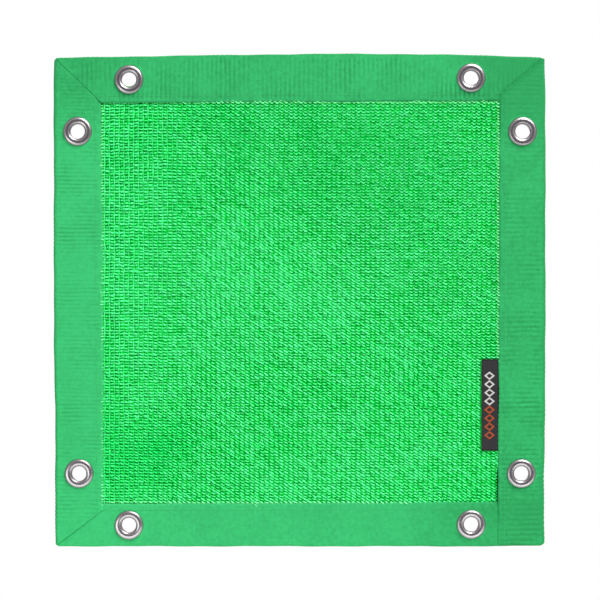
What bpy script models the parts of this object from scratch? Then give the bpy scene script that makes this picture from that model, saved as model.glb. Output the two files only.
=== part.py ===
"""Shade cloth panel: knitted cloth in a folded border tape, with eight two-part eyelets and a sewn-in label.

The panel hangs upright in the XZ plane and its front faces -Y. The origin is halfway between the two
eyelets of the top row, in the middle of the cloth's thickness, where the panel is hung from.
"""

import math

import bmesh
import bpy

# Cloth and border tape, in metres
PANEL_WIDTH = 0.405
PANEL_HEIGHT = 0.405
CLOTH_THICKNESS = 0.0009
WALE_PITCH = 0.0040
WALE_RELIEF = 0.0003
TAPE_WIDTH = 0.0386
BOTTOM_TAPE_WIDTH = 0.0345
TAPE_THICKNESS = 0.0005
CLEARANCE = 0.0003

# Seam along the inner edge of the tape
SEAM_INSET = 0.0055
SEAM_GROOVE_DEPTH = 0.0002
SEAM_END_MARGIN = 0.002
THREAD_DIAMETER = 0.0004
THREAD_CLEARANCE = 0.0001

# Eyelets and their washers
BORE_DIAMETER = 0.012
EYELET_WALL = 0.0005
FLANGE_WIDTH = 0.00575
FLANGE_ROLL = 0.0017
CURL_WIDTH = 0.0024
CURL_ROLL = 0.0005
EYELET_CORNER_DISTANCE = 0.0615
SIDE_EYELET_DROP = 0.002
WASHER_WIDTH = 0.0042
WASHER_THICKNESS = 0.0006
WASHER_DISH = 0.0002
WASHER_CHAMFER = 0.00015

# Label
LABEL_WIDTH = 0.014
LABEL_LENGTH = 0.0752
LABEL_THICKNESS = 0.0004
LABEL_EYELET_GAP = 0.0071
LABEL_PIVOT_LIFT = 0.00015

# Facets
RING_SEGMENTS = 20
FOLD_STEPS = 6
FLANGE_STEPS = 5
FLANGE_INNER_STEPS = 3
CURL_STEPS = 3
CURL_INNER_STEPS = 2
THREAD_SIDES = 8
LABEL_FOLD_STEPS = 4
SHARP_ANGLE = math.radians(35)

# Levels through the thickness, counted from the middle of the cloth
CLOTH_FACE = CLOTH_THICKNESS / 2
SLOT_FACE = CLOTH_FACE + CLEARANCE
TAPE_FACE = SLOT_FACE + TAPE_THICKNESS
FLANGE_SEAT = TAPE_FACE + CLEARANCE
WASHER_BACK = FLANGE_SEAT + WASHER_THICKNESS
CURL_SEAT = WASHER_BACK - WASHER_DISH + CLEARANCE
LABEL_BACK = CLOTH_FACE + CLEARANCE
LABEL_FRONT = LABEL_BACK + LABEL_THICKNESS
LABEL_PIVOT = max(TAPE_FACE, LABEL_FRONT) + LABEL_PIVOT_LIFT

# Sizes that follow from the ones above
BORE_RADIUS = BORE_DIAMETER / 2
FLANGE_RADIUS = BORE_RADIUS + FLANGE_WIDTH
BARREL_RADIUS = BORE_RADIUS + EYELET_WALL
CURL_RADIUS = BORE_RADIUS + CURL_WIDTH
HOLE_RADIUS = BARREL_RADIUS + CLEARANCE
SEAM_GROOVE_HALF = THREAD_DIAMETER / 2 + THREAD_CLEARANCE
THREAD_LEVEL = TAPE_FACE - SEAM_GROOVE_DEPTH + THREAD_CLEARANCE + THREAD_DIAMETER / 2
MITRE_GAP = CLEARANCE / math.sqrt(2)
OVERCUT = 2 * TAPE_FACE

GREEN_CLOTH = (0.030, 0.665, 0.127)
GREEN_TAPE = (0.043, 0.510, 0.156)
GREEN_THREAD = (0.036, 0.440, 0.130)
NICKEL = (0.72, 0.70, 0.71)
CHARCOAL = (0.030, 0.029, 0.030)


class Side:
    """One side of the border, which runs clockwise seen from the front.

    Its ends are mitred, except at the bottom right corner: there the right side is turned in at its end and
    the bottom side butts against it. The eyelets are named in the order in which the side runs.
    """

    def __init__(self, name, turn, length, out, width, start, end, eyelets, eyelet_shift=0.0):
        self.name = name
        self.turn = turn
        self.length = length
        self.out = out
        self.width = width
        self.start = start
        self.end = end
        self.eyelets = eyelets
        self.eyelet_shift = eyelet_shift
        self.seam_depth = width - SEAM_INSET

    def location(self):
        return self.point(0, 0)

    def point(self, along, depth):
        """A point of the panel's plane, from a place along the side and a depth in from its edge."""
        angle = math.radians(self.turn)
        out = self.out - depth
        x = along * math.cos(angle) + out * math.sin(angle)
        z = out * math.cos(angle) - along * math.sin(angle)
        return (x, 0, z)


SIDES = [
    Side("top", 0, PANEL_WIDTH, PANEL_HEIGHT / 2, TAPE_WIDTH, "mitre", "mitre", ("left", "right")),
    Side("right", 90, PANEL_HEIGHT, PANEL_WIDTH / 2, TAPE_WIDTH, "mitre", "turned_in", ("upper", "lower"),
         SIDE_EYELET_DROP),
    Side("bottom", 180, PANEL_WIDTH, PANEL_HEIGHT / 2, BOTTOM_TAPE_WIDTH, "butt", "mitre", ("right", "left")),
    Side("left", 270, PANEL_HEIGHT, PANEL_WIDTH / 2, TAPE_WIDTH, "mitre", "mitre", ("lower", "upper"),
         -SIDE_EYELET_DROP),
]


def clear_scene():
    for old in list(bpy.data.objects):
        bpy.data.objects.remove(old, do_unlink=True)


def new_material(name, colour, roughness, metallic=0.0):
    material = bpy.data.materials.new(name)
    material.use_nodes = True
    shader = material.node_tree.nodes["Principled BSDF"]
    shader.inputs["Base Color"].default_value = (*colour, 1.0)
    shader.inputs["Roughness"].default_value = roughness
    shader.inputs["Metallic"].default_value = metallic
    return material


def lofted_mesh(name, first, last):
    """A closed mesh between two outlines with the same number of points."""
    shape = bmesh.new()
    first_ring = [shape.verts.new(point) for point in first]
    last_ring = [shape.verts.new(point) for point in last]
    shape.faces.new(first_ring)
    shape.faces.new(last_ring)
    for index in range(len(first_ring)):
        shape.faces.new((first_ring[index - 1], first_ring[index], last_ring[index], last_ring[index - 1]))
    return finished_mesh(name, shape)


def turned_mesh(name, profile):
    """A ring about the Y axis from a closed profile of radius and level pairs."""
    shape = bmesh.new()
    rings = []
    for segment in range(RING_SEGMENTS):
        angle = 2 * math.pi * segment / RING_SEGMENTS
        ring = [shape.verts.new((r * math.cos(angle), y, r * math.sin(angle))) for r, y in profile]
        rings.append(ring)
    for segment in range(RING_SEGMENTS):
        ring = rings[segment - 1]
        following = rings[segment]
        for index in range(len(profile)):
            shape.faces.new((ring[index - 1], ring[index], following[index], following[index - 1]))
    return finished_mesh(name, shape)


def finished_mesh(name, shape):
    bmesh.ops.recalc_face_normals(shape, faces=shape.faces)
    mesh = bpy.data.meshes.new(name)
    shape.to_mesh(mesh)
    shape.free()
    mesh.shade_smooth()
    mesh.set_sharp_from_angle(angle=SHARP_ANGLE)
    return mesh


def place(name, mesh, parent, location=(0, 0, 0), turn=0, material=None):
    piece = bpy.data.objects.new(name, mesh)
    bpy.context.scene.collection.objects.link(piece)
    piece.parent = parent
    piece.location = location
    piece.rotation_euler = (0, math.radians(turn), 0)
    if material is not None and not mesh.materials:
        mesh.materials.append(material)
    return piece


def place_cutter(name, mesh, parent, location=(0, 0, 0), turn=0):
    cutter = place(name, mesh, parent, location, turn)
    cutter.hide_render = True
    cutter.display_type = "WIRE"
    return cutter


def cut(piece, cutter):
    modifier = piece.modifiers.new(cutter.name, "BOOLEAN")
    modifier.operation = "DIFFERENCE"
    modifier.solver = "EXACT"
    modifier.object = cutter


def arc(centre, half_width, half_height, start, end, steps):
    """Points of an elliptical arc, with its angles in degrees."""
    points = []
    for step in range(steps + 1):
        angle = math.radians(start + (end - start) * step / steps)
        across = centre[0] + half_width * math.cos(angle)
        along = centre[1] + half_height * math.sin(angle)
        points.append((across, along))
    return points


def end_inset(style, side, neighbour, depth):
    """How far a side stops short of the panel's corner, at a depth in from the outer edge."""
    if style == "mitre":
        return depth * neighbour.width / side.width + MITRE_GAP
    if style == "butt":
        return neighbour.width + CLEARANCE
    return 0.0


def corner_insets(side, depth):
    """The insets at the side's start and end."""
    place_in_row = SIDES.index(side)
    before = SIDES[place_in_row - 1]
    after = SIDES[(place_in_row + 1) % len(SIDES)]
    return end_inset(side.start, side, before, depth), end_inset(side.end, side, after, depth)


def groove_outline(side, level, floor):
    inner = side.seam_depth + SEAM_GROOVE_HALF
    outer = side.seam_depth - SEAM_GROOVE_HALF
    return [(inner, level), (inner, floor), (outer, floor), (outer, level)]


def tape_outline(side):
    """The outer face of the folded tape, from its front inner edge round the fold to its back inner edge."""
    groove_floor = TAPE_FACE - SEAM_GROOVE_DEPTH
    front = [(side.width, -TAPE_FACE)] + groove_outline(side, -TAPE_FACE, -groove_floor)
    fold = arc((TAPE_FACE, 0), TAPE_FACE, TAPE_FACE, 270, 90, FOLD_STEPS)
    back = list(reversed(groove_outline(side, TAPE_FACE, groove_floor))) + [(side.width, TAPE_FACE)]
    return front + fold + back


def slot_outline(side):
    """The slot between the tape's two leaves, which holds the cloth's edge."""
    fold = arc((TAPE_FACE, 0), SLOT_FACE, SLOT_FACE, 270, 90, FOLD_STEPS)
    mouth = side.width + OVERCUT
    return [(mouth, -SLOT_FACE)] + fold + [(mouth, SLOT_FACE)]


def build_tape(side, centre, material):
    half = side.length / 2
    first = []
    last = []
    for depth, level in tape_outline(side):
        start, end = corner_insets(side, depth)
        first.append((start - half, level, -depth))
        last.append((half - end, level, -depth))
    name = "tape_" + side.name
    tape = place(name, lofted_mesh(name, first, last), centre, side.location(), side.turn, material)

    slot_end = half - TAPE_THICKNESS if side.end == "turned_in" else half + OVERCUT
    first = [(-half - OVERCUT, level, -depth) for depth, level in slot_outline(side)]
    last = [(slot_end, level, -depth) for depth, level in slot_outline(side)]
    name = "slot_" + side.name
    cut(tape, place_cutter(name, lofted_mesh(name, first, last), centre, side.location(), side.turn))
    return tape


def thread_ends(side):
    """Where the seam's thread starts and ends: at the mitre, or a margin before a square end."""
    half = side.length / 2
    start, end = corner_insets(side, side.seam_depth + SEAM_GROOVE_HALF)
    start += CLEARANCE if side.start == "mitre" else SEAM_END_MARGIN
    end += CLEARANCE if side.end == "mitre" else SEAM_END_MARGIN
    return start - half, half - end


def build_thread(kind, side, level, centre, material):
    radius = THREAD_DIAMETER / 2
    outline = arc((side.seam_depth, level), radius, radius, 0, 360, THREAD_SIDES)[:-1]
    start, end = thread_ends(side)
    first = [(start, y, -depth) for depth, y in outline]
    last = [(end, y, -depth) for depth, y in outline]
    name = kind + "_thread_" + side.name
    place(name, lofted_mesh(name, first, last), centre, side.location(), side.turn, material)


def build_cloth(centre, material):
    """The knitted cloth, with its wales standing proud on the front and its edge inside the tape's fold."""
    half_width = PANEL_WIDTH / 2 - TAPE_FACE
    half_height = PANEL_HEIGHT / 2 - TAPE_FACE
    wales = round(2 * half_width / WALE_PITCH)
    pitch = 2 * half_width / wales
    valley = -CLOTH_FACE + WALE_RELIEF
    front = [(-half_width, valley)]
    for wale in range(wales):
        left = -half_width + wale * pitch
        front.append((left + pitch / 2, -CLOTH_FACE))
        front.append((left + pitch, valley))
    outline = front + [(half_width, CLOTH_FACE), (-half_width, CLOTH_FACE)]
    first = [(x, y, -half_height) for x, y in outline]
    last = [(x, y, half_height) for x, y in outline]
    return place("cloth", lofted_mesh("cloth", first, last), centre, material=material)


def eyelet_profile():
    """The eyelet's wall: a rolled flange at the front, a barrel, and an end curled outwards at the back."""
    flange_half = FLANGE_WIDTH / 2
    flange_middle = (BORE_RADIUS + flange_half, -FLANGE_SEAT)
    flange_out = arc(flange_middle, flange_half, FLANGE_ROLL + EYELET_WALL, 0, -180, FLANGE_STEPS)
    flange_in = arc(flange_middle, flange_half - EYELET_WALL, FLANGE_ROLL, -180, 0, FLANGE_INNER_STEPS)
    curl_half = CURL_WIDTH / 2
    curl_middle = (BORE_RADIUS + curl_half, CURL_SEAT)
    curl_out = arc(curl_middle, curl_half, CURL_ROLL + EYELET_WALL, 180, 0, CURL_STEPS)
    curl_in = arc(curl_middle, curl_half - EYELET_WALL, CURL_ROLL, 0, 180, CURL_INNER_STEPS)
    return flange_out + curl_out + curl_in + flange_in


def washer_profile():
    inner = HOLE_RADIUS
    outer = inner + WASHER_WIDTH
    dish_floor = WASHER_BACK - WASHER_DISH
    dish_edge = CURL_RADIUS + CLEARANCE
    return [
        (inner, FLANGE_SEAT),
        (outer, FLANGE_SEAT),
        (outer, WASHER_BACK - WASHER_CHAMFER),
        (outer - WASHER_CHAMFER, WASHER_BACK),
        (dish_edge + WASHER_DISH, WASHER_BACK),
        (dish_edge, dish_floor),
        (inner, dish_floor),
    ]


def hole_cutter_mesh():
    circle = arc((0, 0), HOLE_RADIUS, HOLE_RADIUS, 0, 360, RING_SEGMENTS)[:-1]
    first = [(x, -TAPE_FACE - OVERCUT, z) for x, z in circle]
    last = [(x, TAPE_FACE + OVERCUT, z) for x, z in circle]
    return lofted_mesh("eyelet_hole", first, last)


def build_eyelets(tapes, cloth, centre, material):
    eyelet_mesh = turned_mesh("eyelet", eyelet_profile())
    washer_mesh = turned_mesh("washer", washer_profile())
    cutter_mesh = hole_cutter_mesh()
    for side in SIDES:
        reach = side.length / 2 - EYELET_CORNER_DISTANCE
        for end, along in zip(side.eyelets, (-reach, reach)):
            place_name = side.name + "_" + end
            point = side.point(along + side.eyelet_shift, side.width / 2)
            place("eyelet_" + place_name, eyelet_mesh, centre, point, material=material)
            place("washer_" + place_name, washer_mesh, centre, point, material=material)
            cutter = place_cutter("hole_" + place_name, cutter_mesh, centre, point)
            cut(tapes[side.name], cutter)
            cut(cloth, cutter)


def build_label(centre, material):
    """The label's free flap, with its origin on the line where it bends at the tape's inner edge."""
    half = LABEL_THICKNESS / 2
    middle = LABEL_PIVOT - LABEL_BACK - half
    fold = arc((half - LABEL_WIDTH, middle), half, half, 90, 270, LABEL_FOLD_STEPS)
    outline = [(0, middle - half), (0, middle + half)] + fold
    first = [(x, y, 0) for x, y in outline]
    last = [(x, y, LABEL_LENGTH) for x, y in outline]
    right = PANEL_WIDTH / 2 - TAPE_WIDTH - CLEARANCE
    eyelet_height = EYELET_CORNER_DISTANCE - SIDE_EYELET_DROP - PANEL_HEIGHT / 2
    low = eyelet_height + FLANGE_RADIUS + LABEL_EYELET_GAP
    place("label", lofted_mesh("label", first, last), centre, (right, -LABEL_PIVOT, low), material=material)


def main():
    clear_scene()
    cloth_finish = new_material("knitted_cloth", GREEN_CLOTH, 0.6)
    tape_finish = new_material("woven_tape", GREEN_TAPE, 0.7)
    thread_finish = new_material("sewing_thread", GREEN_THREAD, 0.6)
    nickel_finish = new_material("nickel_plate", NICKEL, 0.25, 1.0)
    label_finish = new_material("woven_label", CHARCOAL, 0.8)

    centre = bpy.data.objects.new("panel_centre", None)
    bpy.context.scene.collection.objects.link(centre)
    centre.location = (0, 0, TAPE_WIDTH / 2 - PANEL_HEIGHT / 2)

    cloth = build_cloth(centre, cloth_finish)
    tapes = {}
    for side in SIDES:
        tapes[side.name] = build_tape(side, centre, tape_finish)
        build_thread("needle", side, -THREAD_LEVEL, centre, thread_finish)
        build_thread("bobbin", side, THREAD_LEVEL, centre, thread_finish)
    build_eyelets(tapes, cloth, centre, nickel_finish)
    build_label(centre, label_finish)


main()
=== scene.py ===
"""Looks of a square panel of green knitted shade cloth, bound in woven tape and hung by nickel eyelets.

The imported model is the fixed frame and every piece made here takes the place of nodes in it.
X runs along the panel, Z up it, and its front faces -Y. All sizes are in metres.
"""

import math

import bmesh
import bpy
import numpy as np
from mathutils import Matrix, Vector


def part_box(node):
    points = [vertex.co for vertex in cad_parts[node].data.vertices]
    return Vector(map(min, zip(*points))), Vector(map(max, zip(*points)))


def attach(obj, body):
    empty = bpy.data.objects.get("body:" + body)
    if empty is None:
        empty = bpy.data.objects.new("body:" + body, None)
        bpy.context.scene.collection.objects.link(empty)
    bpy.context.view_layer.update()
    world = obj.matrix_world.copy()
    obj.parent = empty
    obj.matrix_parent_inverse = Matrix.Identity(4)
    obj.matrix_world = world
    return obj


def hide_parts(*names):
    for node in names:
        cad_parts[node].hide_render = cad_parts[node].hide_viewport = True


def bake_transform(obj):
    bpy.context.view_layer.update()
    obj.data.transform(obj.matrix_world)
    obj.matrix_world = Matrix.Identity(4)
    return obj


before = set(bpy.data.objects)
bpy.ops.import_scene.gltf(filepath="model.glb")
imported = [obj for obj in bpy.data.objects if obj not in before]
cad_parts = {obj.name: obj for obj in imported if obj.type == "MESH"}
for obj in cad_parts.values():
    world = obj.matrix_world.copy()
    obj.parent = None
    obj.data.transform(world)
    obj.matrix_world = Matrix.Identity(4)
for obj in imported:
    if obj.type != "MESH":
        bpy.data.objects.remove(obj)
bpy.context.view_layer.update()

# The border as the frame has it
PANEL_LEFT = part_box("tape_left")[0].x
PANEL_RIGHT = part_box("tape_right")[1].x
PANEL_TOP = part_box("tape_top")[1].z
PANEL_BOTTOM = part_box("tape_bottom")[0].z
PANEL_WIDTH = PANEL_RIGHT - PANEL_LEFT
PANEL_HEIGHT = PANEL_TOP - PANEL_BOTTOM
PANEL_MIDDLE = Vector(((PANEL_LEFT + PANEL_RIGHT) / 2, 0, (PANEL_TOP + PANEL_BOTTOM) / 2))
TAPE_WIDTH = PANEL_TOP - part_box("tape_top")[0].z
BOTTOM_TAPE_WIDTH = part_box("tape_bottom")[1].z - PANEL_BOTTOM
TAPE_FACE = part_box("tape_top")[1].y
TAPE_THICKNESS = 0.0005
MITRE_GAP = 0.00013
CORNER_ROUND = 0.0040
TUCK_LENGTH = 0.007
TUCK_DROP = 0.0006
LAP_SHARE = 0.85
LAP_LIFT = 0.00080
SETTLE_FADE = 0.02

# Knitted cloth
WALE_PITCH = 0.00398
COURSE_PITCH = 0.00244
KNIT_TUCK = 0.0030
KNIT_EDGE_RISE = 0.00030
# Width along the sewn edge where the knit's crowns are coloured paler, as painted highlight
SEAM_HIGHLIGHT_WIDTH = 0.0022
KNIT_EDGE_WIDTH = 0.0055
LEFT_TURN = (-14.0, 0, 1.8)
LEFT_TURN_START = 1.1
ABOVE_TURN = (7.1, 0, 8.3)
ABOVE_TURN_START = 0.25
BARE_SIDE = (400, 0, 0)
BARE_SIDE_START = 36.0
BARE_LOW = (0, 0, -400)
BARE_LOW_START = 19.0
# Where the cloth sinks behind the lifted tape edge, low on the right; the material also paints shadow there
GAP_SIDE = (2000, 0, 0)
GAP_SIDE_START = 324.6
GAP_LOW = (0, 0, -400)
GAP_LOW_START = 54.8
GAP_DEPTH = 0.0014
LABEL_PRESS = 0.0005
# Broad patches of painted sheen (paler) and painted shade (deeper) on the cloth: middle, reach across and up, strength
SHEENS = (
    ((-0.025, 0, -0.175), (0.190, 1, 0.080), 0.50),
    ((0.037, 0, -0.336), (0.110, 1, 0.045), 0.55),
    ((-0.132, 0, -0.311), (0.090, 1, 0.060), -0.50),
    ((-0.040, 0, -0.051), (0.160, 1, 0.070), -0.25),
    ((0.153, 0, -0.336), (0.040, 1, 0.030), -0.40),
)
FLOAT_REACH = 0.37
FLOAT_BULGE = 0.0004
FLOAT_SAG = 0.0002
FLOAT_HALF_HEIGHT = 0.00088
FLOAT_HALF_DEPTH = 0.00036
FLOAT_LEAN = math.radians(30)
FLOAT_SLANT = math.radians(28.5)
FLOAT_SLANT_AT_LEFT = math.radians(-3)
FLOAT_SLANT_ABOVE = math.radians(0)
FLOAT_STRETCH = 0.50
FLOAT_SIZE_ABOVE = (0.95, 1, 0.90)
FLOAT_BEND_ABOVE = 0.0021
LINK_HALF_WIDTH = 0.00078
LINK_HALF_DEPTH = 0.00032
LINK_SLANT = math.radians(25)
LINK_SLANT_AT_LEFT = math.radians(4)
LINK_LIFT = -0.0007
LINK_LIFT_AT_LEFT = 0.00055
RIBBON_REACH = 0.62
RIBBON_HALF_HEIGHT = 0.00165
RIBBON_HALF_DEPTH = 0.00016
RIBBON_LEVEL = 0.00048
FRONT_BANDS = 3
CLOTH_EDGE_INSET = 0.00125
CLOTH_EDGE_THICKNESS = 0.0006

# Ribs of the border tape: pitch and depth for each side
RIBS = {"top": (0.0038, 0.00020), "right": (0.0039, 0.00024), "bottom": (0.0036, 0.00003), "left": (0.0033, 0.00018)}
DEEPEST_RIB = 0.00026
# Painted light: the left and bottom tapes are coloured lighter and the top and right darker, as the light falls
TAPE_TONES = {"top": -0.05, "right": -0.14, "bottom": 0.20, "left": 0.36}
# Painted shade at each tape's start and end: darker towards most corners, lighter at the bottom left corner
CORNER_TONES = {
    "top": (-0.12, -0.52), "right": (-0.55, -0.23), "bottom": (-0.57, 0.24), "left": (0.10, -0.55)}
CORNER_REACH = {"top": 0.085, "right": 0.085, "bottom": 0.150, "left": 0.085}
# Painted shade along each tape's outer fold: darker on the top, right and left, a little lighter on the bottom
FOLD_TONES = {"top": -0.3, "right": -0.7, "bottom": 0.1, "left": -1.0}
STEPS_PER_RIB = 6
LEAF_STEPS = 22
FOLD_STEPS = 8
EYELET_SWELL = 0.00028
EYELET_SWELL_RADIUS = 0.0098
EYELET_SWELL_FADE = 0.0030
TAPE_HOLE_RADIUS = 0.0071
PRESS_MARK_RADIUS = 0.0124
PRESS_MARK_FADE = 0.0016

# Seams
SEAM_INSET = 0.0055
SEAM_PULL = 0.00007
EDGE_PRESS = 0.00030
STITCH_PITCH = 0.0042
STITCH_LENGTH = 0.0036
THREAD_RADIUS = 0.00022

# Eyelets and washers
BORE_RADIUS = 0.006
EYELET_WALL = 0.0005
FLANGE_WIDTH = 0.00590
FLANGE_ROLL = 0.0013
FLANGE_SEAT = 0.00155
CURL_WIDTH = 0.0024
CURL_ROLL = 0.0005
CURL_SEAT = 0.00225
WASHER_INNER = 0.0068
WASHER_OUTER = 0.011
WASHER_THICKNESS = 0.0006
WASHER_EDGE = 0.00022
EYELET_NAMES = ["top_left", "top_right", "right_upper", "right_lower",
                "bottom_right", "bottom_left", "left_lower", "left_upper"]

# Label
LABEL_CELL = 0.00025
LABEL_PLY = 0.00015
LABEL_TAIL = 0.0045
LABEL_GROUND = (0.024, 0.023, 0.025)
LABEL_SELVEDGE = (0.006, 0.006, 0.007)
LABEL_SELVEDGE_WIDTH = 0.0008
LABEL_PALE = (0.62, 0.60, 0.58)
LABEL_RUST = (0.38, 0.070, 0.016)
LABEL_DESIGN_MIDDLE = 0.0066
DIAMOND_START = 0.0100
DIAMOND_PITCH = 0.0070
DIAMOND_WIDTH = 0.0088
DIAMOND_LINE = 0.00075
PALE_DIAMONDS = 4
ALL_DIAMONDS = 8

# Camera and stage
PICTURE_SPAN = 0.4949
LENS = 120
SENSOR = 36
FLOOR_DROP = 0.2
FLOOR_RADIUS = 0.9

DEPTH = Vector((0, 1, 0))
ACROSS = Vector((1, 0, 0))
UP = Vector((0, 0, 1))


class Steps:
    """Adds nodes to a tree one after another. A value is a plain value or another node's output."""

    def __init__(self, tree):
        self.tree = tree

    def node(self, kind, values=None, **settings):
        node = self.tree.nodes.new(kind)
        for name, value in settings.items():
            setattr(node, name, value)
        for key, value in (values or {}).items():
            self.feed(node.inputs[key], value)
        return node

    def feed(self, socket, value):
        if isinstance(value, bpy.types.NodeSocket):
            self.tree.links.new(value, socket)
        else:
            socket.default_value = value

    def math(self, operation, *values):
        return self.node("ShaderNodeMath", dict(enumerate(values)), operation=operation).outputs[0]

    def vector(self, operation, first, second):
        return self.node("ShaderNodeVectorMath", {0: first, 1: second}, operation=operation).outputs[0]

    def scaled(self, vector, factor):
        return self.node("ShaderNodeVectorMath", {0: vector, "Scale": factor}, operation="SCALE").outputs[0]

    def blended(self, factor, first, second):
        """A colour between two colours."""
        node = self.node("ShaderNodeMix", {0: factor, 6: first, 7: second}, data_type="RGBA")
        return node.outputs[2]

    def noise(self, place, scale, detail=2.0, output="Fac"):
        return self.node("ShaderNodeTexNoise", {"Vector": place, "Scale": scale, "Detail": detail}).outputs[output]


def smooth(low, high, value):
    """Rises from 0 at low to 1 at high, without corners."""
    part = np.clip((value - low) / (high - low), 0, 1)
    return part * part * (3 - 2 * part)


def add_object(name, mesh):
    piece = bpy.data.objects.new(name, mesh)
    bpy.context.scene.collection.objects.link(piece)
    return piece


def shape_mesh(name, shape):
    """A smooth-shaded mesh from a bmesh, facing outwards."""
    bmesh.ops.recalc_face_normals(shape, faces=shape.faces)
    mesh = bpy.data.meshes.new(name)
    shape.to_mesh(mesh)
    shape.free()
    mesh.shade_smooth()
    return mesh


def plain_piece(name, carrier):
    """Turns an object with its modifiers into a plain mesh object, and removes the carrier."""
    depsgraph = bpy.context.evaluated_depsgraph_get()
    mesh = bpy.data.meshes.new_from_object(carrier.evaluated_get(depsgraph))
    bpy.data.objects.remove(carrier)
    mesh.name = name
    return add_object(name, mesh)


def grow(name, tree, base, values, extra=None):
    """Runs a node tree over a base mesh with the given inputs and returns the plain piece."""
    carrier = add_object(name + "_carrier", base)
    modifier = carrier.modifiers.new(tree.name, "NODES")
    modifier.node_group = tree
    for item in tree.interface.items_tree:
        if item.in_out == "INPUT" and item.name in values:
            modifier[item.identifier] = values[item.name]
    if extra is not None:
        extra(carrier)
    return plain_piece(name, carrier)


def new_tree(name, inputs):
    """An empty geometry tree with named inputs, its steps and its group input node."""
    tree = bpy.data.node_groups.new(name, "GeometryNodeTree")
    tree.interface.new_socket("Geometry", in_out="INPUT", socket_type="NodeSocketGeometry")
    tree.interface.new_socket("Geometry", in_out="OUTPUT", socket_type="NodeSocketGeometry")
    for socket_name, kind in inputs.items():
        tree.interface.new_socket(socket_name, in_out="INPUT", socket_type="NodeSocket" + kind)
    steps = Steps(tree)
    return tree, steps, steps.node("NodeGroupInput").outputs


def end_tree(steps, geometry, material):
    """Every tree ends in real faces with their material."""
    real = steps.node("GeometryNodeRealizeInstances", {"Geometry": geometry}).outputs[0]
    painted = steps.node("GeometryNodeSetMaterial", {"Geometry": real, "Material": material}).outputs[0]
    steps.node("NodeGroupOutput", {0: painted})


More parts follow.
